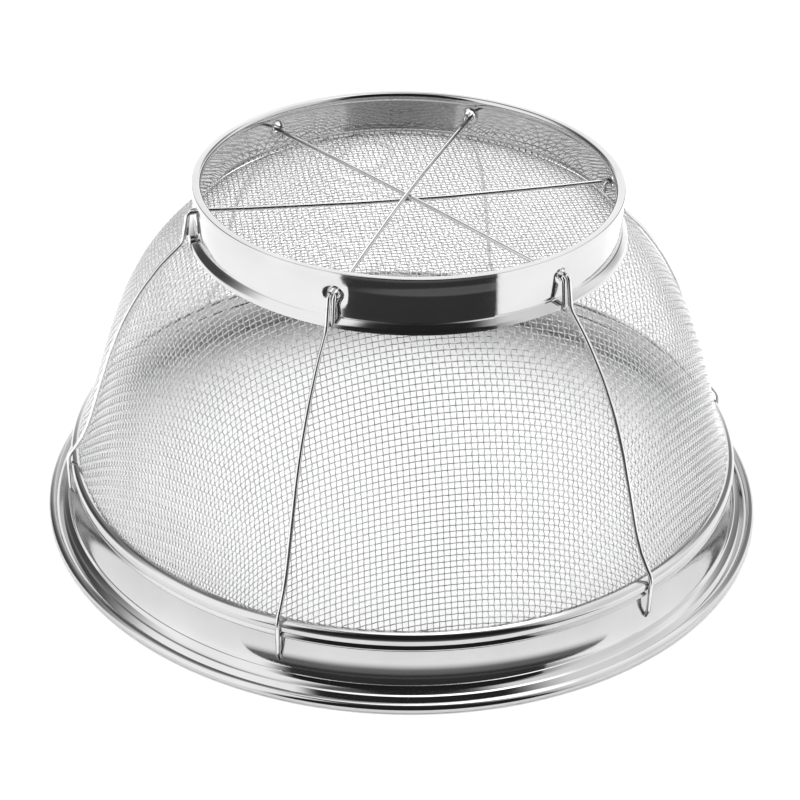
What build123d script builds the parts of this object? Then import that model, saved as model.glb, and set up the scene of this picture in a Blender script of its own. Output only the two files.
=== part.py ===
"""Wire-mesh straining bowl with a wide sheet rim and a foot ring, standing rim down.

Millimetres, +Z up.  The origin is on the axis, on the surface that the rim stands on.
Every piece is a solid of its own: the rim and its core wire, the hem ring and the inner
strip that grip the edge of the mesh, the mesh bowl, the foot band and its core wire,
three cross wires inside the foot band and six side wires down the outside.
"""
import os
from math import cos, radians, sin

from build123d import *

# --- driving dimensions --------------------------------------------------------------
SHEET = 0.5                 # sheet steel of the rim, the rings and the foot band
RIM_RADIUS = 120.0          # outermost edge of the rolled rim bead
BEAD = 1.3                  # radius of the rolled rim bead
REST_FLAT = 0.08            # how deep the rim and the foot are worn flat where they rest
COLLAR_RADIUS = 110.0       # outside of the straight collar under the hem
COVE_TOP = 12.2             # height where the collar starts to flare
COVE_FOOT = (112.3, 4.5)    # crease at the foot of the cove
RIB = (114.4, 2.45)         # ledge between the crease and the bead
VALLEY = (116.3, 1.25)      # groove beside the bead

HEM_RADIUS = 111.3          # outside of the hem ring
HEM_FOOT = 17.75            # lower edge of the hem ring
HEM_TOP = 21.8
HEM_SHOULDER = 1.9          # radius of the hem ring's rounded shoulder
STRIP_RADIUS = 107.8        # inside of the inner strip

WEAVE = 0.8                 # thickness of the plain weave, two wires deep
BASE_HEIGHT = 100.6         # top of the flat base of the mesh
BASE_RADIUS = 65.6          # where the base turns over into the wall
# middle of the bowl wall from the hem up to the base: radius, height
WALL = [
    (109.0, 17.9), (108.8, 21.2), (105.0, 29.3), (102.0, 37.6), (99.0, 47.0),
    (95.0, 58.8), (90.4, 69.7), (84.4, 80.2), (77.0, 89.7), (69.0, 97.2),
]

FOOT_RADIUS = 67.3          # outside of the foot band
FOOT_TOP = 114.7
FOOT_BEAD = 1.5             # radius of the rolled bead on the foot band
FOOT_BEAD_RING = 66.2       # from the axis to the middle of that bead
FLARE_TOP = 102.2           # height where the foot band starts to flare
LIP = (69.5, 98.0)          # lower lip of the foot band
LAP_ANGLE = -68.0           # end of the overlapping strip
LAP_SPAN = 8.0              # how far the two ends of the band overlap, degrees
HOLE_HEIGHT = 107.8
HOLE = 3.3                  # two wires side by side
DIMPLE = 6.4
DIMPLE_DEPTH = 0.3

WIRE = 1.4                  # hooks, side wires and cross wires
FIRST_WIRE = -108.0         # direction of the first hole, seen from above
WIRE_COUNT = 6
WIRE_FOOT = 8.2             # lower end of a side wire
CROSS_RISE = (1.45, 0.0, -1.45)   # the three cross wires pass over each other
SIDE_OF_HOLE = (-1, 1, -1, 1, -1, 1)   # which side of its hole each side wire takes

CORE_GAP = 0.02             # between a core wire and the sheet rolled round it
WIRE_R = WIRE / 2
WIRE_ANGLES = [FIRST_WIRE + 360 / WIRE_COUNT * i for i in range(WIRE_COUNT)]


def turned(face):
    """Revolve a face drawn in the XZ plane all the way about Z."""
    return revolve(face, Axis.Z, 360)


def outline(*edges):
    """Closed face from edges drawn in the XZ plane."""
    return make_face(Wire(edges))


def at(radius, height):
    """Point of a section: radius from the axis and height."""
    return Vector(radius, 0, height)


def polar(radius, angle):
    """Step across a section: how far, and in which direction in degrees."""
    return Vector(radius * cos(radians(angle)), 0, radius * sin(radians(angle)))


def ring_wire(radius, height, section_radius):
    """Closed hoop of round wire."""
    return Pos(0, 0, height) * Torus(radius, section_radius)


# --- rim ------------------------------------------------------------------------------
def make_rim():
    """Collar, cove, crease, ledge and the edge rolled round its core wire."""
    cove = Edge.make_tangent_arc(
        at(COLLAR_RADIUS, COVE_TOP), Vector(0, 0, -1), at(*COVE_FOOT)
    )
    bead_centre = at(RIM_RADIUS - BEAD, BEAD - REST_FLAT)

    def on_bead(radius, angle):
        return bead_centre + polar(radius, angle)

    inner = BEAD - SHEET
    start = 196
    bead_outer = Edge.make_three_point_arc(
        on_bead(BEAD, start), on_bead(BEAD, 20), on_bead(BEAD, -136)
    )
    bead_inner = Edge.make_three_point_arc(
        on_bead(inner, -136), on_bead(inner, 20), on_bead(inner, start)
    )
    ledge_end = at(RIB[0] + 0.7, RIB[1] - 0.12)
    under_valley = at(VALLEY[0], VALLEY[1] - SHEET)
    under_ledge = at(RIB[0] + 0.45, RIB[1] - 0.12 - SHEET * 0.9)
    under_rib = at(RIB[0] - 0.1, RIB[1] - SHEET * 1.15)
    under_cove = at(COVE_FOOT[0] - SHEET * 0.8, COVE_FOOT[1] - SHEET * 0.6)
    inner_collar = at(COLLAR_RADIUS - SHEET, COVE_TOP)
    collar_top = HEM_TOP - 1.1
    cove_under = Edge.make_tangent_arc(inner_collar, Vector(0, 0, -1), under_cove)
    section = outline(
        Edge.make_line(at(COLLAR_RADIUS - SHEET, collar_top), at(COLLAR_RADIUS, collar_top)),
        Edge.make_line(at(COLLAR_RADIUS, collar_top), at(COLLAR_RADIUS, COVE_TOP)),
        cove,
        Edge.make_line(at(*COVE_FOOT), at(*RIB)),
        Edge.make_line(at(*RIB), ledge_end),
        Edge.make_line(ledge_end, at(*VALLEY)),
        Edge.make_line(at(*VALLEY), on_bead(BEAD, start)),
        bead_outer,
        Edge.make_line(on_bead(BEAD, -136), on_bead(inner, -136)),
        bead_inner,
        Edge.make_line(on_bead(inner, start), under_valley),
        Edge.make_line(under_valley, under_ledge),
        Edge.make_line(under_ledge, under_rib),
        Edge.make_line(under_rib, under_cove),
        cove_under.reversed(),
        Edge.make_line(inner_collar, at(COLLAR_RADIUS - SHEET, collar_top)),
    )
    below = Pos(0, 0, -1) * Box(3 * RIM_RADIUS, 3 * RIM_RADIUS, 2)
    return turned(section) - below


# --- hem ------------------------------------------------------------------------------
def make_hem_ring():
    """Ring with a rounded shoulder, folded over the top of the collar."""
    outer = HEM_RADIUS
    shoulder_foot = HEM_TOP - HEM_SHOULDER
    top_edge = outer - HEM_SHOULDER
    corner = cos(radians(45))
    centre = at(top_edge, shoulder_foot)
    inner_shoulder = HEM_SHOULDER - SHEET
    outside = Edge.make_three_point_arc(
        at(outer, shoulder_foot),
        centre + Vector(HEM_SHOULDER * corner, 0, HEM_SHOULDER * corner),
        at(top_edge, HEM_TOP),
    )
    inside = Edge.make_three_point_arc(
        at(top_edge, HEM_TOP - SHEET),
        centre + Vector(inner_shoulder * corner, 0, inner_shoulder * corner),
        at(outer - SHEET, shoulder_foot),
    )
    section = outline(
        Edge.make_line(at(outer - SHEET, HEM_FOOT), at(outer, HEM_FOOT)),
        Edge.make_line(at(outer, HEM_FOOT), at(outer, shoulder_foot)),
        outside,
        Edge.make_line(at(top_edge, HEM_TOP), at(top_edge, HEM_TOP - SHEET)),
        inside,
        Edge.make_line(at(outer - SHEET, shoulder_foot), at(outer - SHEET, HEM_FOOT)),
    )
    return turned(section)


def make_inner_strip():
    """Flat strip inside the mesh edge, welded through to the collar."""
    height = HEM_TOP - HEM_FOOT - 0.4
    ring = Cylinder(STRIP_RADIUS + SHEET, height) - Cylinder(STRIP_RADIUS, height)
    return Pos(0, 0, HEM_FOOT - 0.2 + height / 2) * ring


# --- mesh -----------------------------------------------------------------------------
def make_mesh_bowl():
    """The woven bowl as one closed shell: wall, turned shoulder and flat base."""
    middle = WALL + [(BASE_RADIUS, BASE_HEIGHT - WEAVE / 2)]

    def offset(distance):
        moved = []
        for index, (radius, height) in enumerate(middle):
            before = middle[max(index - 1, 0)]
            after = middle[min(index + 1, len(middle) - 1)]
            along = Vector(after[0] - before[0], after[1] - before[1]).normalized()
            if index == len(middle) - 1:
                along = Vector(-1, 0)
            moved.append(at(radius + along.Y * distance, height - along.X * distance))
        return moved

    outside = offset(WEAVE / 2)
    inside = offset(-WEAVE / 2)
    outer_wall = Edge.make_spline(outside)
    inner_wall = Edge.make_spline(inside)
    top = at(0, BASE_HEIGHT)
    bottom = at(0, BASE_HEIGHT - WEAVE)
    section = outline(
        Edge.make_line(inside[0], outside[0]),
        outer_wall,
        Edge.make_line(outside[-1], top),
        Edge.make_line(top, bottom),
        Edge.make_line(bottom, inside[-1]),
        inner_wall.reversed(),
    )
    return turned(section)


# --- foot ring ------------------------------------------------------------------------
def make_foot_band():
    """Strip rolled to a ring, beaded at the foot, flared on to the mesh and lapped."""
    wall = FOOT_RADIUS
    lip = at(*LIP)
    lip_in = lip - at(SHEET, 0.05)
    bead_centre = at(FOOT_BEAD_RING, FOOT_TOP - FOOT_BEAD + REST_FLAT)
    inner = FOOT_BEAD - SHEET

    def on_bead(radius, angle):
        return bead_centre + polar(radius, angle)

    start, end = -45, 238
    flare = Edge.make_tangent_arc(at(wall, FLARE_TOP), Vector(0, 0, -1), lip)
    flare_in = Edge.make_tangent_arc(at(wall - SHEET, FLARE_TOP), Vector(0, 0, -1), lip_in)
    section = outline(
        Edge.make_line(at(wall, FLARE_TOP), on_bead(FOOT_BEAD, start)),
        Edge.make_three_point_arc(
            on_bead(FOOT_BEAD, start), on_bead(FOOT_BEAD, 90), on_bead(FOOT_BEAD, end)
        ),
        Edge.make_line(on_bead(FOOT_BEAD, end), on_bead(inner, end)),
        Edge.make_three_point_arc(
            on_bead(inner, end), on_bead(inner, 90), on_bead(inner, start)
        ),
        Edge.make_line(on_bead(inner, start), at(wall - SHEET, FLARE_TOP)),
        flare_in,
        Edge.make_line(lip_in, lip),
        flare.reversed(),
    )
    band = turned(section)

    lap_flare = Edge.make_tangent_arc(
        at(wall + SHEET, FLARE_TOP), Vector(0, 0, -1), lip + Vector(SHEET * 0.9, 0, 0.1)
    )
    lap_top = bead_centre.Z - FOOT_BEAD - 0.3
    lap_foot = lip + Vector(-0.1, 0, 0.2)
    lap_section = outline(
        Edge.make_line(at(wall - 0.1, lap_top), at(wall + SHEET, lap_top)),
        Edge.make_line(at(wall + SHEET, lap_top), at(wall + SHEET, FLARE_TOP)),
        lap_flare,
        Edge.make_line(lip + Vector(SHEET * 0.9, 0, 0.1), lap_foot),
        Edge.make_tangent_arc(
            at(wall - 0.1, FLARE_TOP), Vector(0, 0, -1), lap_foot
        ).reversed(),
        Edge.make_line(at(wall - 0.1, FLARE_TOP), at(wall - 0.1, lap_top)),
    )
    lap = Rot(0, 0, LAP_ANGLE - LAP_SPAN) * revolve(lap_section, Axis.Z, LAP_SPAN)
    band = band + lap

    for angle in WIRE_ANGLES:
        out = Rot(0, 0, angle) * Pos(FOOT_RADIUS, 0, HOLE_HEIGHT) * Rot(0, 90, 0)
        dimple = Cone(
            HOLE / 2, DIMPLE / 2, DIMPLE_DEPTH, align=(Align.CENTER, Align.CENTER, Align.MAX)
        )
        band = band - out * Cylinder(HOLE / 2, 6) - out * dimple
    notch = Pos(69.6, 0, FOOT_TOP - 2.1) * Box(6, 0.4, 2.2)
    band = band - Rot(0, 0, LAP_ANGLE + 0.3) * notch
    above = Pos(0, 0, FOOT_TOP + 1) * Box(3 * FOOT_RADIUS, 3 * FOOT_RADIUS, 2)
    return band - above


# --- wires ----------------------------------------------------------------------------
def bent_wire(points, radii):
    """Round wire along straight runs joined by tangent arcs."""
    path = FilletPolyline(*points, radius=radii)
    start = path @ 0
    section = Plane(origin=start, z_dir=path % 0) * Circle(WIRE_R)
    return sweep(section, path=path)


def side_points(offset):
    """Route of a side wire in its own plane, from the hook to its lower end."""
    hem_side = HEM_RADIUS + WIRE_R + 0.1
    route = [
        (63.9, 104.7), (63.9, HOLE_HEIGHT), (69.3, HOLE_HEIGHT), (71.2, 97.6),
        (78.2, 90.8), (85.7, 81.0), (91.8, 70.4), (96.4, 59.4), (100.4, 47.5),
        (103.4, 38.1), (106.6, 29.4), (hem_side, 22.6), (hem_side, 10.6),
        (hem_side - 0.9, WIRE_FOOT),
    ]
    return [Vector(r, offset, z) for r, z in route]


def make_side_wire(angle, side):
    """Hooked into its hole from outside, down over the mesh and the hem."""
    radii = [1.2, 1.6, 5.0, 40.0, 60.0, 60.0, 60.0, 60.0, 60.0, 30.0, 6.0, 2.5]
    return Rot(0, 0, angle) * bent_wire(side_points(side * (WIRE_R + 0.05)), radii)


def make_cross_wire(angle, rise, side_near, side_far):
    """Straight across the foot ring, through two holes, its ends turned down."""
    near = -side_near * (WIRE_R + 0.05)
    far = side_far * (WIRE_R + 0.05)
    out = 69.0
    foot = 99.6
    points = [
        Vector(out + 0.9, near, foot), Vector(out, near, HOLE_HEIGHT),
        Vector(50, near * 0.8, HOLE_HEIGHT + rise * 0.55), Vector(14, near * 0.2, HOLE_HEIGHT + rise),
        Vector(-14, far * 0.2, HOLE_HEIGHT + rise),
        Vector(-50, far * 0.8, HOLE_HEIGHT + rise * 0.55),
        Vector(-out, far, HOLE_HEIGHT), Vector(-out - 0.9, far, foot),
    ]
    radii = [1.4, 30.0, 60.0, 60.0, 30.0, 1.4]
    return Rot(0, 0, angle) * bent_wire(points, radii)


def main():
    os.makedirs("parts", exist_ok=True)
    pieces = {
        "rim": make_rim(),
        "rim_core_wire": ring_wire(RIM_RADIUS - BEAD, BEAD - REST_FLAT, BEAD - SHEET - CORE_GAP),
        "hem_ring": make_hem_ring(),
        "inner_strip": make_inner_strip(),
        "mesh_bowl": make_mesh_bowl(),
        "foot_band": make_foot_band(),
        "foot_core_wire": ring_wire(
            FOOT_BEAD_RING, FOOT_TOP - FOOT_BEAD + REST_FLAT, FOOT_BEAD - SHEET - CORE_GAP
        ),
    }
    for index, (angle, side) in enumerate(zip(WIRE_ANGLES, SIDE_OF_HOLE), start=1):
        pieces[f"side_wire_{index}"] = make_side_wire(angle, side)
    half = WIRE_COUNT // 2
    for index in range(half):
        pieces[f"cross_wire_{index + 1}"] = make_cross_wire(
            WIRE_ANGLES[index], CROSS_RISE[index], SIDE_OF_HOLE[index], SIDE_OF_HOLE[index + half]
        )
    for name, solid in pieces.items():
        export_step(solid, f"parts/{name}.step")


main()
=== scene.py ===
"""Woven-wire straining bowl standing on its wide polished rim, with its foot ring on top.

The sheet pieces are spun from their sections, the wires are bent along their routes, and the
bowl is real plain weave: two families of crimped wires laid over the drawn shape as one
square cloth.  Lengths of the object are written in millimetres and made metres by MM.
"""
from math import atan2, cos, hypot, pi, radians, sin, tan

import bpy
import numpy as np
from mathutils import Matrix, Vector


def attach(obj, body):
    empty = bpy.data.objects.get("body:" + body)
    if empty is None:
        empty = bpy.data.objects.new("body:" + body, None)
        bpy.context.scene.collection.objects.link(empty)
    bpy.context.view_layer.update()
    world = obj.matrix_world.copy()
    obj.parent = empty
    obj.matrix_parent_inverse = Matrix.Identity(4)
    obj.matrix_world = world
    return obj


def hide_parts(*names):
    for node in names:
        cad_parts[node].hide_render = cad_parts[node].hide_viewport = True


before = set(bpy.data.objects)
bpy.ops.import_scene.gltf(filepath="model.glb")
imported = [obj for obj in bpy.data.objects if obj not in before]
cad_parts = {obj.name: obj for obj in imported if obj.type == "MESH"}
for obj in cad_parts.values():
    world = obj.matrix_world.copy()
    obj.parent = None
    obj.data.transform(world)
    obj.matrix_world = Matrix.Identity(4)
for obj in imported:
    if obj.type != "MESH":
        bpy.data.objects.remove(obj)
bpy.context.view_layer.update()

MM = 0.001

# --- driving dimensions: a pair is a place on a section, radius from the axis and height -----
SHEET = 0.5                 # sheet steel of the rim, the rings and the foot band
RIM_RADIUS = 120.0          # outermost edge of the rolled rim bead
COLLAR_RADIUS = 110.0       # outside of the straight collar under the hem
COLLAR_TOP = 20.7
RIDGE = (110.9, 17.35)      # pressed ridge on the collar, just under the hem
COVE_TOP = 15.0             # height where the collar starts to flare
COVE_FOOT = (112.3, 4.5)    # crease at the foot of the cove
RIB = (114.6, 2.62)         # ledge between the crease and the bead
RIB_END = (115.15, 2.42)
VALLEY = (116.55, 1.15)     # groove beside the bead
BEAD_CREST = (117.95, 2.76)     # inner edge of the bead's sloping top
BEAD_SLOPE_END = 2.02       # height that the sloping top would reach at the outer edge

HEM_RADIUS = 111.3          # outside of the hem ring
HEM_FOOT = 17.75
HEM_TOP = 21.8
HEM_SHOULDER = 1.8          # radius of the hem ring's rounded shoulder
HEM_INSIDE = 108.5          # where the hem's flat top ends, over the mesh
HEM_TURN = 18.3             # where the hem's foot turns in towards the ridge
STRIP_RADIUS = 107.8        # inside of the inner strip

FOOT_RADIUS = 67.3          # outside of the foot band
FOOT_TOP = 114.7
FOOT_BEAD = 1.5             # half the width of the rolled bead on the foot band
FOOT_BEAD_RING = 66.2       # from the axis to the middle of that bead
FOOT_BEAD_SIDE = 67.5       # outside of the bead, nearly square where it was rolled
NECK = 101.0                # groove where the wall ends and the lip begins
LIP = (69.5, 98.0)          # lower lip of the foot band
LAP_ANGLE = -68.0           # end of the overlapping strip
LAP_SPAN = 8.0              # how far the two ends of the band overlap, degrees
HOLE_HEIGHT = 107.8
HOLE = 3.3                  # two wires side by side
DIMPLE = 6.4

WIRE = 1.4                  # hooks, side wires and cross wires
WIRE_GAP = 0.05             # from the middle of a hole to the side of a wire in it
FIRST_WIRE = -108.0         # direction of the first hole, seen from above
WIRE_COUNT = 6
CROSS_RISE = (1.45, 0.0, -1.45)   # the three cross wires pass over each other
SIDE_OF_HOLE = (-1, 1, -1, 1, -1, 1)   # which side of its hole each side wire takes
WIRE_ANGLES = [FIRST_WIRE + 360 / WIRE_COUNT * i for i in range(WIRE_COUNT)]

# --- the cloth -------------------------------------------------------------------------
PITCH = 1.81                # from one wire of the weave to the next
THREAD = 0.34               # thickness of a wire of the weave
UNEVEN = 0.5                # how much more of the crimp the weft takes than the warp
WEAVE_TURN = -80.0          # direction of one family of wires across the flat base
CLOTH_FOOT = 18.1           # where the cloth ends inside the hem
SLACK = 2.2                 # how far the cloth stands out midway between two side wires
SLACK_HEIGHTS = (97.6, 21.6)    # heights between which it stands out
HALF_CLOTH = 92             # wires from the middle of the cloth to its edge
CLOTH_BANDS = 6             # pieces that each family of wires is made in
THREAD_SIDES = 5            # sides of a wire of the weave
# middle of the cloth under the side wires, from the axis to the hem: radius, height
CLOTH = [
    (0.0, 100.2), (30.0, 100.2), (55.0, 100.2), (63.5, 99.9), (68.4, 97.6), (77.0, 89.7),
    (84.4, 80.2), (90.4, 69.7), (95.0, 58.8), (99.0, 47.0), (102.0, 37.6), (105.0, 29.3),
    (108.5, 21.6), (109.0, 17.9),
]

RING_STEPS = 384            # steps round a spun ring
ROW = 1.12                  # height of a row of faces on the foot band
LAP_RISE = -125.0           # where the strip starts to rise over its other end
LAP_SKIN = 0.04             # how far the two ends are parted at the top of the bead
CUT_OUT = 3.7               # half the square of plain faces replaced round a hole


# ======================================================================================
# Small helpers
# ======================================================================================
def arc(centre, radius, start, end, steps):
    """Points of a round stretch of a section, angles in degrees."""
    turns = [radians(start + (end - start) * i / steps) for i in range(steps + 1)]
    return [(centre[0] + radius * cos(t), centre[1] + radius * sin(t)) for t in turns]


def swept_arc(start, end, steps):
    """Arc from start to end that leaves start straight down."""
    run, fall = end[0] - start[0], start[1] - end[1]
    radius = (run * run + fall * fall) / (2 * run)
    centre = (start[0] + radius, start[1])
    return arc(centre, radius, 180, 180 + 2 * atan2(run, fall) * 180 / pi, steps)


def rounded(corners, steps=3):
    """Section through corners, each given as radius from the axis, height and rounding.

    The first and the last corner are the ends of the section, so their rounding is 0.
    """
    outline = [corners[0][:2]]
    for before, corner, after in zip(corners, corners[1:], corners[2:]):
        place, rounding = Vector(corner[:2]), corner[2]
        back = (Vector(before[:2]) - place).normalized()
        ahead = (Vector(after[:2]) - place).normalized()
        half = back.angle(ahead) / 2
        centre = place + (back + ahead).normalized() * (rounding / sin(half))
        first = place + back * (rounding / tan(half)) - centre
        turn = (pi - 2 * half) * (1 if back.cross(first) > 0 else -1)
        for i in range(steps + 1):
            outline.append(tuple(centre + Matrix.Rotation(turn * i / steps, 2) @ first))
    return outline + [corners[-1][:2]]


def deselect():
    bpy.ops.object.select_all(action="DESELECT")


def only(piece):
    """Make a piece the selected and active object."""
    deselect()
    piece.select_set(True)
    bpy.context.view_layer.objects.active = piece


def edit(piece, select_mode="VERT"):
    only(piece)
    bpy.ops.object.mode_set(mode="EDIT")
    bpy.ops.mesh.select_mode(type=select_mode)


def done():
    bpy.ops.object.mode_set(mode="OBJECT")
    return bpy.context.object


def apply_modifier(piece, kind, **settings):
    """Add a modifier, set it up and apply it."""
    only(piece)
    modifier = piece.modifiers.new(kind.title(), kind)
    for setting, value in settings.items():
        setattr(modifier, setting, value)
    bpy.ops.object.modifier_apply(modifier=modifier.name)


def smooth(piece, angle=40):
    only(piece)
    bpy.ops.object.shade_smooth_by_angle(angle=radians(angle))


# ======================================================================================
# Materials
# ======================================================================================
class Amount:
    """A number that changes over a surface, with the operators that add Math nodes."""

    def __init__(self, maker, socket):
        self.maker = maker
        self.socket = socket

    def with_operation(self, operation, first, second):
        inputs = {0: first, 1: second}
        return self.maker.number("ShaderNodeMath", {"operation": operation}, inputs)

    def __add__(self, other):
        return self.with_operation("ADD", self, other)

    def __radd__(self, other):
        return self.with_operation("ADD", other, self)

    def __sub__(self, other):
        return self.with_operation("SUBTRACT", self, other)

    def __rsub__(self, other):
        return self.with_operation("SUBTRACT", other, self)

    def __mul__(self, other):
        return self.with_operation("MULTIPLY", self, other)

    def __rmul__(self, other):
        return self.with_operation("MULTIPLY", other, self)

    def __truediv__(self, other):
        return self.with_operation("DIVIDE", self, other)

    def __pow__(self, other):
        return self.with_operation("POWER", self, other)


class Nodes:
    """A node tree that is being filled."""

    def __init__(self, tree):
        self.tree = tree
        self.tree.nodes.clear()

    def node(self, kind, settings=None, inputs=None):
        """Add a node: its settings first, then the values or links of its sockets."""
        made = self.tree.nodes.new(kind)
        for setting, value in (settings or {}).items():
            setattr(made, setting, value)
        for socket, value in (inputs or {}).items():
            self.feed(made.inputs[socket], value)
        return made

    def feed(self, socket, value):
        if isinstance(value, Amount):
            value = value.socket
        if isinstance(value, bpy.types.NodeSocket):
            self.tree.links.new(value, socket)
        else:
            socket.default_value = value

    def number(self, kind, settings=None, inputs=None, output=0):
        return Amount(self, self.node(kind, settings, inputs).outputs[output])

    def apart(self, vector):
        """The three numbers of a vector."""
        made = self.node("ShaderNodeSeparateXYZ", inputs={0: vector})
        return [Amount(self, made.outputs[i]) for i in range(3)]

    def vector(self, x, y, z):
        return self.node("ShaderNodeCombineXYZ", inputs={0: x, 1: y, 2: z}).outputs[0]

    def between(self, amount, low, high, stops=(0.35, 0.65), interpolation="LINEAR"):
        """Go from low to high as an amount goes from the first stop to the second."""
        settings = {"clamp": True, "interpolation_type": interpolation}
        inputs = {0: amount, 1: stops[0], 2: stops[1], 3: low, 4: high}
        return self.number("ShaderNodeMapRange", settings, inputs)

    def step(self, amount, first, second):
        """Soft step from 0 to 1."""
        return self.between(amount, 0.0, 1.0, (first, second), "SMOOTHSTEP")


class Finish(Nodes):
    """One material and the nodes in it."""

    def __init__(self, name):
        self.material = bpy.data.materials.new(name)
        self.material.use_nodes = True
        super().__init__(self.material.node_tree)
        self.shader = self.node("ShaderNodeBsdfPrincipled")
        self.node("ShaderNodeOutputMaterial", inputs={"Surface": self.shader.outputs[0]})

    def surface(self, **values):
        """Set or link the shader's own sockets, with _ for a space in a name."""
        for name, value in values.items():
            self.feed(self.shader.inputs[name.replace("_", " ")], value)
        return self.material

    def place(self):
        """Where a point is on the object, as three numbers."""
        return self.apart(self.node("ShaderNodeTexCoord").outputs["Object"])

    def noise(self, vector, scale, detail=2.0, roughness=0.5):
        inputs = {"Vector": vector, "Scale": scale, "Detail": detail, "Roughness": roughness}
        return self.number("ShaderNodeTexNoise", {"noise_dimensions": "3D"}, inputs)

    def tint(self, amount, dark, light):
        """Mix of two colours."""
        inputs = {0: amount, 6: (*dark, 1.0), 7: (*light, 1.0)}
        return self.node("ShaderNodeMix", {"data_type": "RGBA"}, inputs).outputs[2]

    def bump(self, height, strength, distance):
        inputs = {"Height": height, "Strength": strength, "Distance": distance}
        return self.node("ShaderNodeBump", inputs=inputs).outputs[0]


def polished_sheet():
    """Mirror-polished stainless sheet: fine lines left by the buffing wheel, faint smears."""
    steel = Finish("polished_sheet")
    x, y, z = steel.place()
    radius = (x * x + y * y) ** 0.5
    along = steel.vector(x / radius * 1.6, y / radius * 1.6, (z + radius) * 900.0)
    lines = steel.noise(along, 1.0, detail=3.0)
    everywhere = steel.vector(x, y, z)
    smears = steel.noise(everywhere, 38.0, detail=3.0)
    grain = steel.noise(everywhere, 2400.0, detail=1.0)
    rough = steel.between(smears, 0.045, 0.085) + steel.between(lines, 0.0, 0.03)
    colour = steel.tint(steel.between(smears, 0.0, 1.0), (0.50, 0.50, 0.503), (0.545, 0.545, 0.545))
    height = lines * 0.7 + grain * 0.3
    return steel.surface(
        Base_Color=colour, Metallic=1.0, Roughness=rough,
        Normal=steel.bump(height, 0.12, 0.00002),
    )


def drawn_wire():
    """Bright drawn wire with faint die lines."""
    steel = Finish("drawn_wire")
    x, y, z = steel.place()
    everywhere = steel.vector(x, y, z)
    smears = steel.noise(everywhere, 160.0, detail=3.0)
    grain = steel.noise(everywhere, 1900.0, detail=2.0)
    colour = steel.tint(steel.between(smears, 0.0, 1.0), (0.64, 0.64, 0.645), (0.72, 0.72, 0.72))
    rough = steel.between(smears, 0.10, 0.17) + steel.between(grain, 0.0, 0.04)
    return steel.surface(
        Base_Color=colour, Metallic=1.0, Roughness=rough,
        Normal=steel.bump(grain, 0.25, 0.00002),
    )


def woven_wire():
    """Fine woven wire, bright, its tone varying in patches."""
    steel = Finish("woven_wire")
    x, y, z = steel.place()
    everywhere = steel.vector(x, y, z)
    patches = steel.noise(everywhere, 55.0, detail=3.0)
    grain = steel.noise(everywhere, 900.0, detail=2.0)
    colour = steel.tint(
        steel.between(patches * 0.6 + grain * 0.4, 0.0, 1.0), (0.72, 0.72, 0.725), (0.82, 0.82, 0.82)
    )
    rough = steel.between(grain, 0.14, 0.24)
    return steel.surface(Base_Color=colour, Metallic=1.0, Roughness=rough)


def core_wire():
    """Plain steel wire inside the rolled beads."""
    steel = Finish("core_wire")
    x, y, z = steel.place()
    everywhere = steel.vector(x, y, z)
    grain = steel.noise(everywhere, 800.0, detail=3.0)
    colour = steel.tint(steel.between(grain, 0.0, 1.0), (0.52, 0.52, 0.53), (0.64, 0.64, 0.65))
    return steel.surface(Base_Color=colour, Metallic=1.0, Roughness=steel.between(grain, 0.25, 0.4))


def white_floor():
    paper = Finish("white_floor")
    return paper.surface(Base_Color=(0.9, 0.9, 0.9, 1.0), Roughness=0.9)


def painted_reflection_card():
    """Glowing card that only shows in reflections, its emission painted shade: near its edge painted
    white like the lit floor, fading into a painted shadow band, then dark, with a painted lighter
    patch of far floor and painted shade a little lighter near the floor.
    """
    board = Finish("painted_reflection_card")
    x, y, z = board.place()
    radius = (x * x + y * y) ** 0.5
    # painted reflection: white like the lit floor up to 138 mm, then a painted shadow band from 150
    # mm, dark beyond 200 mm
    edge = board.between(radius, 1.3, 0.15, (0.138, 0.150))
    edge = edge * board.between(radius, 1.0, 0.0, (0.168, 0.20))
    # painted lighter patch of far floor, from 0.30 m out, fading by 0.8 m
    far = board.between(radius, 0.0, 0.1, (0.30, 0.34)) * board.between(radius, 1.0, 0.0, (0.45, 0.8))
    # painted shade a little lighter near the floor
    shade = 0.022 + board.between(z, 0.03, 0.0, (0.0, 0.3)) + edge + far
    board.surface(Base_Color=(0.0, 0.0, 0.0, 1.0), Roughness=1.0, Specular_IOR_Level=0.0)
    return board.surface(Emission_Color=board.vector(shade, shade, shade), Emission_Strength=1.0)


# ======================================================================================
# Spun sheet pieces
# ======================================================================================
def drawn_section(name, outline, azimuth=0.0):
    """Start a piece: its section drawn point by point, in the plane at an azimuth."""
    east, north = cos(radians(azimuth)), sin(radians(azimuth))
    deselect()
    bpy.ops.mesh.primitive_plane_add(size=MM)
    piece = bpy.context.object
    piece.name = piece.data.name = name
    edit(piece)
    bpy.ops.mesh.merge(type="CENTER")
    bpy.ops.mesh.select_all(action="SELECT")
    radius, height = outline[0]
    bpy.ops.transform.translate(value=(radius * east * MM, radius * north * MM, height * MM))
    for before, after in zip(outline, outline[1:]):
        out, up = (after[0] - before[0]) * MM, (after[1] - before[1]) * MM
        step = (out * east, out * north, up)
        bpy.ops.mesh.extrude_region_move(TRANSFORM_OT_translate={"value": step})
    return done()


def spun(name, outline, thickness=SHEET, steps=RING_STEPS):
    """Spin a section all the way round the axis, close the seam and give the sheet its thickness."""
    piece = drawn_section(name, outline)
    edit(piece)
    bpy.ops.mesh.select_all(action="SELECT")
    bpy.ops.mesh.spin(steps=steps, angle=2 * pi, center=(0, 0, 0), axis=(0, 0, 1))
    bpy.ops.mesh.select_all(action="SELECT")
    bpy.ops.mesh.remove_doubles(threshold=0.001 * MM)
    bpy.ops.mesh.normals_make_consistent(inside=False)
    done()
    apply_modifier(piece, "SOLIDIFY", thickness=thickness * MM, offset=-1, use_even_offset=True)
    smooth(piece)
    return piece


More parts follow.
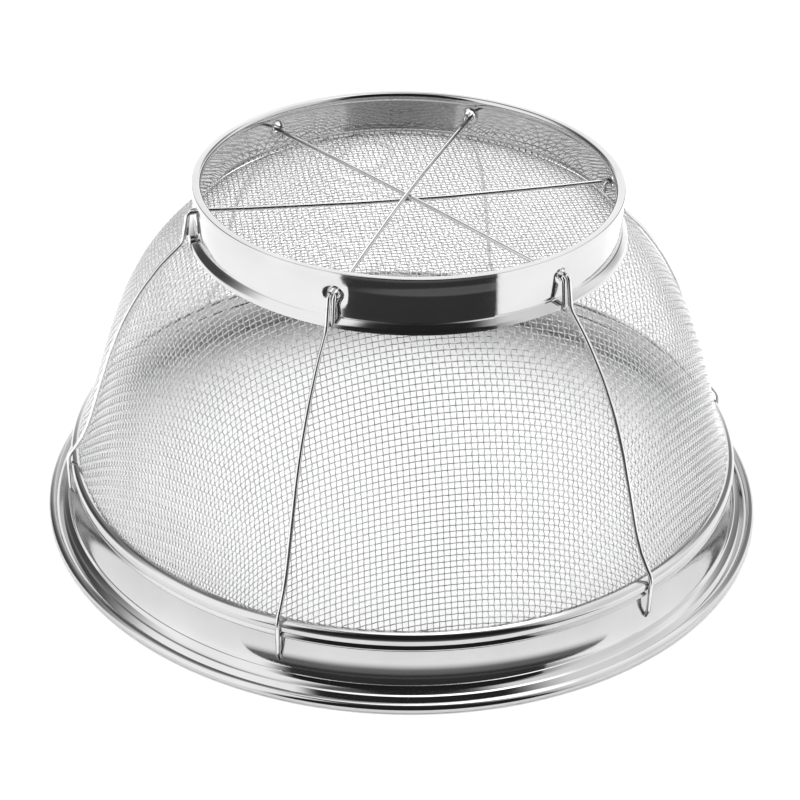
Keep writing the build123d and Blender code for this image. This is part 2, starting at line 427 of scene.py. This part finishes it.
def make_rim():
    """Collar, ridge, cove, crease, ledge, groove and the edge rolled round its core wire."""
    ridge_out, ridge_top = RIDGE
    collar = rounded([
        (COLLAR_RADIUS, COLLAR_TOP, 0),
        (COLLAR_RADIUS, ridge_top, 0.12), (COLLAR_RADIUS + 0.2, ridge_top, 0.05),
        (ridge_out, ridge_top - 0.85, 0.2), (ridge_out, ridge_top - 1.3, 0.3),
        (COLLAR_RADIUS, ridge_top - 2.0, 0.4), (COLLAR_RADIUS, COVE_TOP, 0),
    ])
    cove = swept_arc((COLLAR_RADIUS, COVE_TOP), COVE_FOOT, 14)
    brim = rounded([
        (*COVE_FOOT, 0), (COVE_FOOT[0] + 0.28, COVE_FOOT[1] - 0.1, 0.05), (113.2, 3.3, 1.2),
        (*RIB, 0.08), (*RIB_END, 0.1), (*VALLEY, 0.3), (VALLEY[0] + 0.8, VALLEY[1] - 0.05, 0.12),
        (*BEAD_CREST, 0.12), (RIM_RADIUS, BEAD_SLOPE_END, 1.3), (RIM_RADIUS, 0.0, 0.6),
        (RIM_RADIUS - 2.2, 0.0, 0.3), (RIM_RADIUS - 2.4, 0.5, 0),
    ])
    return spun("rim_sheet", collar + cove[1:] + brim[1:])


def make_hem():
    """Ring with a flat top and a rounded shoulder, folded over the collar, its foot turned in."""
    outline = rounded([
        (HEM_RADIUS - 0.75, HEM_TURN - 0.3, 0), (HEM_RADIUS, HEM_TURN, 0.3),
        (HEM_RADIUS, HEM_TOP - 0.7, HEM_SHOULDER), (HEM_RADIUS - 1.92, HEM_TOP, 0.1),
        (HEM_INSIDE, HEM_TOP, 0.3), (HEM_INSIDE - 0.5, HEM_TOP - 0.4, 0),
    ], steps=8)
    return spun("hem_sheet", outline)


def make_strip():
    """Flat strip inside the mesh edge."""
    radius = STRIP_RADIUS + SHEET
    outline = [(radius, HEM_FOOT - 0.2), (radius, HEM_TOP - 0.6)]
    return spun("strip_sheet", outline)


def make_foot_band():
    """Strip rolled to a ring and lapped, beaded at the top, flared at the mesh, punched for wires.

    It is spun in two goes, so that the end that lies on top is known by its vertices.
    """
    lip = rounded([
        (*LIP, 0), (LIP[0] - 0.35, LIP[1] + 1.1, 1.4), (FOOT_RADIUS + 0.35, NECK - 0.5, 0.15),
        (FOOT_RADIUS - 0.1, NECK - 0.25, 0.2), (FOOT_RADIUS, NECK + 0.6, 0),
    ])
    rows = [(FOOT_RADIUS, HOLE_HEIGHT + ROW * i) for i in range(-4, 3)]
    bead_inside = FOOT_BEAD_RING - FOOT_BEAD
    bead = rounded([
        (FOOT_RADIUS, HOLE_HEIGHT + 3 * ROW, 0), (FOOT_BEAD_SIDE, FOOT_TOP - 1.7, 3.0),
        (FOOT_BEAD_SIDE, FOOT_TOP, 0.3), (bead_inside, FOOT_TOP, 1.2),
        (bead_inside, FOOT_TOP - 2.8, 1.0), (FOOT_RADIUS - 1.1, FOOT_TOP - 3.1, 0),
    ], steps=5)
    first_turn = 300
    last_turn = int(360 + LAP_SPAN - first_turn)
    piece = drawn_section("foot_band_sheet", lip + rows + bead, LAP_ANGLE - LAP_SPAN)
    edit(piece)
    bpy.ops.mesh.select_all(action="SELECT")
    bpy.ops.mesh.spin(
        steps=first_turn, angle=radians(first_turn), center=(0, 0, 0), axis=(0, 0, -1)
    )
    done()
    over_from = len(piece.data.vertices)
    edit(piece)
    bpy.ops.mesh.spin(
        steps=last_turn, angle=radians(last_turn), center=(0, 0, 0), axis=(0, 0, -1)
    )
    done()
    over_to = len(piece.data.vertices)
    lay_lap(piece.data, over_from, over_to)
    punch_holes(piece)
    edit(piece)
    bpy.ops.mesh.select_all(action="SELECT")
    bpy.ops.mesh.normals_make_consistent(inside=False)
    done()
    return piece


def azimuth_of(point):
    return atan2(point[1], point[0]) * 180 / pi


def lay_lap(mesh, over_from, over_to):
    """Lead the far end of the strip out over the near end, by a sheet below the bead."""
    under_bead = (FOOT_TOP - 2 * FOOT_BEAD) * MM
    for vertex in mesh.vertices:
        azimuth = azimuth_of(vertex.co)
        share = min(max((azimuth - LAP_RISE) / (LAP_ANGLE - LAP_SPAN - LAP_RISE), 0.0), 1.0)
        on_top = azimuth < LAP_ANGLE - LAP_SPAN - 0.1 or over_from <= vertex.index < over_to
        if azimuth > LAP_ANGLE + 0.1 or not on_top:
            continue
        fade = min(max((under_bead - vertex.co.z) / MM, 0.08), 1.0)
        if vertex.co.z > (FOOT_TOP - 0.5) * MM:
            vertex.co.z += LAP_SKIN * MM * share
        out = 1.04 * SHEET * MM * share * share * (3 - 2 * share) * fade
        length = hypot(vertex.co.x, vertex.co.y)
        vertex.co.x *= 1 + out / length
        vertex.co.y *= 1 + out / length


def hole_near(point):
    """Azimuth of the nearest wire hole."""
    azimuth = azimuth_of(point)
    return min(WIRE_ANGLES, key=lambda angle: abs((azimuth - angle + 180) % 360 - 180))


def from_hole(point):
    """How far a point lies from its nearest hole: sideways and upwards, in millimetres."""
    angle = radians(hole_near(point))
    sideways = (point[1] * cos(angle) - point[0] * sin(angle)) / MM
    outwards = point[0] * cos(angle) + point[1] * sin(angle)
    return sideways, point[2] / MM - HOLE_HEIGHT, outwards / MM


def punch_holes(piece):
    """Replace a square of faces round each hole with rings that sink into the hole."""
    mesh = piece.data

    def cut_out(point):
        """Whether a point of the wall lies in the square round its nearest hole."""
        sideways, upwards, outwards = from_hole(point)
        on_wall = outwards > FOOT_RADIUS - 7
        return abs(sideways) < CUT_OUT and abs(upwards) < CUT_OUT and on_wall

    edit(piece, "FACE")
    bpy.ops.mesh.select_all(action="DESELECT")
    done()
    for face in mesh.polygons:
        face.select = cut_out(face.center)
    edit(piece, "FACE")
    bpy.ops.mesh.delete(type="FACE")
    done()
    edit(piece, "EDGE")
    bpy.ops.mesh.select_all(action="DESELECT")
    done()
    used = {}
    for face in mesh.polygons:
        for key in face.edge_keys:
            used[key] = used.get(key, 0) + 1
    for edge in mesh.edges:
        middle = (mesh.vertices[edge.vertices[0]].co + mesh.vertices[edge.vertices[1]].co) / 2
        edge.select = cut_out(middle) and used.get(edge.key, 0) == 1
    rings = ((DIMPLE / 2 - 0.1, 0.0), (2.75, 0.03), (2.3, 0.13), (1.9, 0.25), (HOLE / 2, 0.4))
    for radius, depth in rings:
        edit(piece, "EDGE")
        bpy.ops.mesh.extrude_region_move()
        done()
        for vertex in mesh.vertices:
            if vertex.select:
                sideways, upwards, _ = from_hole(vertex.co)
                turn = atan2(upwards, sideways)
                angle = radians(hole_near(vertex.co))
                aside = radius * cos(turn)
                reach = FOOT_RADIUS - depth - aside**2 / (2 * FOOT_RADIUS)
                vertex.co = Vector((
                    reach * cos(angle) - aside * sin(angle), reach * sin(angle) + aside * cos(angle),
                    HOLE_HEIGHT + radius * sin(turn),
                )) * MM


# ======================================================================================
# Wires
# ======================================================================================
def bent(points, radii):
    """Line along straight runs joined by tangent arcs."""
    points = [Vector(point) for point in points]
    line = [points[0]]
    for before, corner, after, radius in zip(points, points[1:], points[2:], radii):
        back, ahead = (before - corner).normalized(), (after - corner).normalized()
        half = back.angle(ahead) / 2
        middle = (back + ahead).normalized()
        centre = corner + middle * (radius / sin(half))
        start = corner + back * (radius / tan(half))
        first = start - centre
        turn = pi - 2 * half
        axis = back.cross(first)
        steps = max(2, int(turn / radians(7)))
        for i in range(steps + 1):
            line.append(centre + Matrix.Rotation(turn * i / steps, 3, axis) @ first)
    return line + [points[-1]]


def make_wire(name, points, radii, angle):
    """Round wire along a route given in its own plane, turned to its place."""
    line = bent(points, radii)
    turned = Matrix.Rotation(radians(angle), 3, "Z")
    curve = bpy.data.curves.new(name, "CURVE")
    curve.dimensions = "3D"
    curve.bevel_depth = WIRE / 2 * MM
    curve.bevel_resolution = 5
    curve.use_fill_caps = True
    spline = curve.splines.new("POLY")
    spline.points.add(len(line) - 1)
    for spot, point in zip(spline.points, line):
        spot.co = (*(turned @ point * MM), 1.0)
    piece = bpy.data.objects.new(name, curve)
    bpy.context.collection.objects.link(piece)
    only(piece)
    bpy.ops.object.convert(target="MESH")
    piece = bpy.context.object
    apply_modifier(
        piece, "BEVEL", width=0.12 * MM, segments=2, limit_method="ANGLE", angle_limit=radians(60)
    )
    smooth(piece, 50)
    return piece


def make_side_wires():
    """Hooked into their holes from outside, down over the mesh and the hem."""
    hem_side = HEM_RADIUS + WIRE / 2 + 0.1
    route = [
        (63.9, 104.7), (63.9, HOLE_HEIGHT), (69.3, HOLE_HEIGHT), (71.2, 97.6),
        (78.2, 90.8), (85.7, 81.0), (91.8, 70.4), (96.4, 59.4), (100.4, 47.5),
        (103.4, 38.1), (106.6, 29.4), (hem_side, 22.6), (hem_side, 10.6),
        (hem_side - 0.9, 8.2),
    ]
    radii = [1.2, 1.6, 5.0, 40.0, 60.0, 60.0, 60.0, 60.0, 60.0, 30.0, 6.0, 2.5]
    for index, (angle, side) in enumerate(zip(WIRE_ANGLES, SIDE_OF_HOLE), start=1):
        aside = side * (WIRE / 2 + WIRE_GAP)
        points = [(r, aside, z) for r, z in route]
        piece = make_wire(f"side_wire_{index}_round", points, radii, angle)
        dress(piece, wire_finish, f"side_wire_{index}")


def make_cross_wires():
    """Straight across the foot ring, through two holes, their ends turned down."""
    out, foot = 69.0, 99.6
    half = WIRE_COUNT // 2
    for index, rise in enumerate(CROSS_RISE):
        near = -SIDE_OF_HOLE[index] * (WIRE / 2 + WIRE_GAP)
        far = SIDE_OF_HOLE[index + half] * (WIRE / 2 + WIRE_GAP)
        points = [
            (out + 0.9, near, foot), (out, near, HOLE_HEIGHT),
            (50, near * 0.8, HOLE_HEIGHT + rise * 0.55), (14, near * 0.2, HOLE_HEIGHT + rise),
            (-14, far * 0.2, HOLE_HEIGHT + rise), (-50, far * 0.8, HOLE_HEIGHT + rise * 0.55),
            (-out, far, HOLE_HEIGHT), (-out - 0.9, far, foot),
        ]
        radii = [1.4, 30.0, 60.0, 60.0, 30.0, 1.4]
        piece = make_wire(f"cross_wire_{index + 1}_round", points, radii, WIRE_ANGLES[index])
        dress(piece, wire_finish, f"cross_wire_{index + 1}")


# ======================================================================================
# Studio
# ======================================================================================
def make_floor():
    deselect()
    bpy.ops.mesh.primitive_plane_add(size=6.0, location=(0, 0, -0.05 * MM))
    floor = bpy.context.object
    floor.name = "floor"
    floor.data.materials.append(white_floor())


def make_cards():
    """Card in front, from the table's edge up past the lens, glowing with painted shade and painted
    floor reflection; only reflections see it.
    """
    outline = [(134.0, 0.0), (900.0, 0.0), (900.0, 1070.0)]
    piece = drawn_section("front_card", outline, -120)
    edit(piece)
    bpy.ops.mesh.select_all(action="SELECT")
    bpy.ops.mesh.spin(steps=24, angle=radians(72), center=(0, 0, 0), axis=(0, 0, -1))
    done()
    piece.data.materials.append(painted_reflection_card())
    for sight in ("visible_camera", "visible_diffuse", "visible_shadow", "visible_transmission"):
        setattr(piece, sight, False)


def make_world():
    """White studio: a softbox on each side, white paper behind, a dark room in front and above.

    Only what polished steel mirrors sees the room; the floor is lit evenly from all round.
    A direction turns by front from straight ahead to the right, and rises by height.
    """
    world = bpy.data.worlds.new("studio")
    bpy.context.scene.world = world
    world.use_nodes = True
    room = Nodes(world.node_tree)
    x, y, z = room.apart(room.node("ShaderNodeTexCoord").outputs["Generated"])
    front = room.number("ShaderNodeMath", {"operation": "ARCTAN2"}, {0: x, 1: 0 - y})
    height = room.number("ShaderNodeMath", {"operation": "ARCSINE"}, {0: z})

    def gap(azimuth, elevation, core, edge):
        """Round dark gap in the white, as 1 in its middle: all in degrees."""
        a, e = radians(azimuth), radians(elevation)
        towards = x * (cos(a) * cos(e)) + y * (sin(a) * cos(e)) + z * sin(e)
        return room.step(towards, cos(radians(edge)), cos(radians(core)))

    sides = 1.9 - 0.5 * room.step(x, -0.2, 0.6) * (1 - room.step(y, 0.0, 0.5))
    left_edge = room.step(front, radians(-42), radians(-31))
    high = room.step(height, radians(40), radians(66))
    right_edge = 1 - room.step(front - high * 0.35, radians(30), radians(62))
    dark_front = left_edge * right_edge
    ceiling = room.step(height, radians(71), radians(79)) * (1 - room.step(y, 0.05, 0.10))
    corners = 0.95 * gap(148, 22, 8, 36) + 0.8 * gap(52, 27, 2, 24) + 0.9 * gap(118, 62, 6, 26)
    overhead = 1 + 1.2 * room.step(y, 0.05, 0.10) * room.step(height, radians(62), radians(72))
    light = 0.035 + sides * overhead * (1 - dark_front) * (1 - 0.93 * ceiling) * (1 - corners)

    path = room.node("ShaderNodeLightPath")
    glossy = Amount(room, path.outputs["Is Glossy Ray"])
    strength = glossy * light + (1 - glossy) * (2.7 - 1.6 * dark_front)
    background = room.node("ShaderNodeBackground", inputs={"Strength": strength})
    room.node("ShaderNodeOutputWorld", inputs={"Surface": background.outputs[0]})
    world.cycles.sampling_method = "NONE"


def make_camera():
    deselect()
    bpy.ops.object.camera_add()
    camera = bpy.context.object
    looks_down, rolled = 0.5664, 0.0218    # radians
    place = Matrix.Translation((-0.00124, -0.5188, 0.3617))
    tilt = Matrix.Rotation(pi / 2 - looks_down, 4, "X")
    roll = Matrix.Rotation(rolled, 4, "Z")
    camera.matrix_world = place @ tilt @ roll
    camera.data.lens = 82.34
    camera.data.sensor_width = 36.0
    camera.data.clip_start = 0.01
    bpy.context.scene.camera = camera


# ======================================================================================
# Woven cloth
# ======================================================================================
def through(points, steps_per_span=60):
    """Smooth curve through points, as close-set points (Catmull-Rom)."""
    ends = [points[0]] + list(points) + [points[-1]]
    knots = np.array(ends, dtype=float)
    knots[0] = 2 * knots[1] - knots[2]
    knots[-1] = 2 * knots[-2] - knots[-3]
    t = np.linspace(0, 1, steps_per_span, endpoint=False)[:, None]
    spans = []
    for a, b, c, d in zip(knots, knots[1:], knots[2:], knots[3:]):
        spans.append(
            0.5 * (2 * b + (c - a) * t + (2 * a - 5 * b + 4 * c - d) * t**2
                   + (3 * b - a - 3 * c + d) * t**3)
        )
    return np.vstack(spans + [knots[-2:-1]])


class Shape:
    """The drawn bowl as a surface, found from a flat place (u, v) measured along the cloth."""

    def __init__(self):
        line = through(CLOTH)
        down = np.array([[line[-1][0], line[-1][1] - 60.0]])
        line = np.vstack([line, down])
        steps = np.hypot(*np.diff(line, axis=0).T)
        self.along = np.concatenate([[0], np.cumsum(steps)])
        self.radius, self.height = line[:, 0], line[:, 1]
        self.slack_start, self.slack_end = (
            np.interp(-height, -self.height, self.along) for height in SLACK_HEIGHTS
        )

    def at(self, u, v):
        far = np.hypot(u, v)
        angle = np.arctan2(v, u)
        radius = np.interp(far, self.along, self.radius)
        height = np.interp(far, self.along, self.height)
        share = np.clip((far - self.slack_start) / (self.slack_end - self.slack_start), 0, 1)
        between = np.sin(WIRE_COUNT / 2 * (angle - radians(FIRST_WIRE))) ** 2
        radius = radius + SLACK * np.sin(pi * share) ** 0.6 * between
        return np.stack([radius * np.cos(angle), radius * np.sin(angle), height], -1)

    def normal(self, u, v):
        d = 0.05
        du = self.at(u + d, v) - self.at(u - d, v)
        dv = self.at(u, v + d) - self.at(u, v - d)
        n = np.cross(du, dv)
        return n / np.linalg.norm(n, axis=-1, keepdims=True)


def laid_cloth(shape, reach):
    """Places (u, v) of the crossings of a square cloth with fixed pitch on the shape.

    The two middle wires run straight down the bowl.  Every other crossing lies one pitch
    from its two neighbours, as in a real cloth that shears but doesn't stretch.
    """
    size = 2 * reach + 1
    flat = np.zeros((size, size, 2))
    turn = radians(WEAVE_TURN)
    axes = [np.array([cos(turn), sin(turn)]), np.array([-sin(turn), cos(turn)])]

    def settle(guess, first, second):
        """Move guesses until they lie one pitch from both neighbours."""
        for _ in range(12):
            here = shape.at(guess[:, 0], guess[:, 1])
            d = 1e-4
            du = (shape.at(guess[:, 0] + d, guess[:, 1]) - here) / d
            dv = (shape.at(guess[:, 0], guess[:, 1] + d) - here) / d
            a, b = here - first, here - second
            la, lb = np.linalg.norm(a, axis=1), np.linalg.norm(b, axis=1)
            ja, jb = (a * du).sum(1) / la, (a * dv).sum(1) / la
            jc, jd = (b * du).sum(1) / lb, (b * dv).sum(1) / lb
            ea, eb = la - PITCH, lb - PITCH
            det = ja * jd - jb * jc
            det = np.where(np.abs(det) < 0.05, 0.05 * np.sign(det + 1e-9), det)
            step = np.stack([(ea * jd - eb * jb) / det, (ja * eb - jc * ea) / det], 1)
            length = np.linalg.norm(step, axis=1, keepdims=True)
            guess = guess - step * np.minimum(1.0, 0.5 * PITCH / np.maximum(length, 1e-12))
        return guess

    for axis, direction in enumerate(axes):
        for sign in (1, -1):
            far = 0.0
            for step in range(1, reach + 1):
                before = shape.at(*(direction * sign * far))
                low, high = far, far + 2 * PITCH
                for _ in range(40):
                    middle = (low + high) / 2
                    gap = np.linalg.norm(shape.at(*(direction * sign * middle)) - before)
                    low, high = (middle, high) if gap < PITCH else (low, middle)
                far = (low + high) / 2
                index = [reach, reach]
                index[axis] += sign * step
                flat[tuple(index)] = direction * sign * far
    for si in (1, -1):
        for sj in (1, -1):
            for total in range(2, 2 * reach + 1):
                low = max(1, total - reach)
                i = np.arange(low, min(reach, total - 1) + 1)
                if not len(i):
                    continue
                j = total - i
                a = flat[reach + si * (i - 1), reach + sj * j]
                b = flat[reach + si * i, reach + sj * (j - 1)]
                c = flat[reach + si * (i - 1), reach + sj * (j - 1)]
                first = shape.at(a[:, 0], a[:, 1])
                second = shape.at(b[:, 0], b[:, 1])
                flat[reach + si * i, reach + sj * j] = settle(a + b - c, first, second)
    return flat


def thread_tubes(lines, sides):
    """Mesh of thin tubes: lines is a list of (points, normals) along each wire."""
    turns = np.arange(sides) * 2 * pi / sides
    points_out, faces_out = [], []
    start = 0
    for centre, normal in lines:
        along = np.gradient(centre, axis=0)
        along /= np.linalg.norm(along, axis=1, keepdims=True)
        across = np.cross(along, normal)
        across /= np.linalg.norm(across, axis=1, keepdims=True)
        up = np.cross(across, along)
        ring = (
            centre[:, None] + THREAD / 2 * (np.cos(turns)[None, :, None] * up[:, None]
                                            + np.sin(turns)[None, :, None] * across[:, None])
        )
        count = len(centre)
        index = start + np.arange(count * sides).reshape(count, sides)
        here, there = index[:-1], index[1:]
        quads = np.stack(
            [here, there, np.roll(there, -1, axis=1), np.roll(here, -1, axis=1)], -1
        )
        points_out.append(ring.reshape(-1, 3))
        faces_out.append(quads.reshape(-1, 4))
        start += count * sides
    return np.vstack(points_out) * MM, np.vstack(faces_out)


def mesh_piece(name, points, faces):
    mesh = bpy.data.meshes.new(name)
    mesh.vertices.add(len(points))
    mesh.vertices.foreach_set("co", points.astype(np.float32).ravel())
    mesh.loops.add(faces.size)
    mesh.loops.foreach_set("vertex_index", faces.astype(np.int32).ravel())
    mesh.polygons.add(len(faces))
    mesh.polygons.foreach_set("loop_start", np.arange(0, faces.size, 4, dtype=np.int32))
    mesh.polygons.foreach_set("loop_total", np.full(len(faces), 4, dtype=np.int32))
    mesh.polygons.foreach_set("use_smooth", np.ones(len(faces), dtype=bool))
    mesh.update(calc_edges=True)
    mesh.validate()
    piece = bpy.data.objects.new(name, mesh)
    bpy.context.collection.objects.link(piece)
    return piece


def make_cloth(material):
    """Warp and weft, each in a few pieces side by side."""
    shape = Shape()
    reach = HALF_CLOTH
    flat = laid_cloth(shape, reach)
    places = shape.at(flat[..., 0], flat[..., 1])
    normals = shape.normal(flat[..., 0], flat[..., 1])
    size = 2 * reach + 1
    parity = 1 - 2 * (np.add.outer(np.arange(size), np.arange(size)) % 2)
    beside_crossing = np.array([-0.3, 0.3, 0.5])    # points of a wire, in pitches past a crossing
    rise_there = np.array([1.0, 1.0, 0.0])
    pieces = []
    for family, side, crimp in (("warp", 1, 1 - UNEVEN), ("weft", -1, 1 + UNEVEN)):
        spots, ups, over = places, normals, parity * side
        if family == "weft":
            spots, ups, over = spots.transpose(1, 0, 2), ups.transpose(1, 0, 2), over.T
        lines = []
        for k in range(size):
            on = spots[k][:, 2] > CLOTH_FOOT
            if on.sum() < 3:
                lines.append(None)
                continue
            chosen = np.flatnonzero(on)
            first, last = chosen[0], chosen[-1]
            span = slice(first, last + 1)
            centre, up, lift = spots[k, span], ups[k, span], over[k, span]
            n = len(centre)
            at = np.clip((np.arange(n)[:, None] + beside_crossing).ravel(), 0, n - 1)
            low = np.floor(at).astype(int)
            high = np.minimum(low + 1, n - 1)
            part = (at - low)[:, None]
            line = centre[low] * (1 - part) + centre[high] * part
            normal = up[low] * (1 - part) + up[high] * part
            normal /= np.linalg.norm(normal, axis=1, keepdims=True)
            rise = (lift[:, None] * rise_there).ravel() * crimp
            lines.append((line + normal * (rise * THREAD / 2)[:, None], normal))
        for band in range(CLOTH_BANDS):
            start, end = size * band // CLOTH_BANDS, size * (band + 1) // CLOTH_BANDS
            chosen = [line for line in lines[start:end] if line]
            points, faces = thread_tubes(chosen, THREAD_SIDES)
            piece = mesh_piece(f"{family}_{band + 1}", points, faces)
            piece.data.materials.append(material)
            pieces.append(piece)
    return pieces


# ======================================================================================
# Build
# ======================================================================================
def dress(piece, material, node):
    piece.data.materials.clear()
    piece.data.materials.append(material)
    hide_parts(node)
    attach(piece, "root")


sheet_finish = polished_sheet()
weave_finish = woven_wire()
wire_finish = drawn_wire()
core_finish = core_wire()

dress(make_rim(), sheet_finish, "rim")
dress(make_hem(), sheet_finish, "hem_ring")
dress(make_strip(), sheet_finish, "inner_strip")

for piece in make_cloth(weave_finish):
    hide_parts("mesh_bowl")
    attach(piece, "root")

band = make_foot_band()
apply_modifier(band, "SOLIDIFY", thickness=SHEET * MM, offset=-1, use_even_offset=True)
smooth(band)
dress(band, sheet_finish, "foot_band")
make_side_wires()
make_cross_wires()

for name in ("rim_core_wire", "foot_core_wire"):
    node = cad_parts[name]
    node.data.materials.clear()
    node.data.materials.append(core_finish)

make_floor()
make_cards()
make_world()
make_camera()
bpy.context.scene.view_settings.view_transform = "Standard"
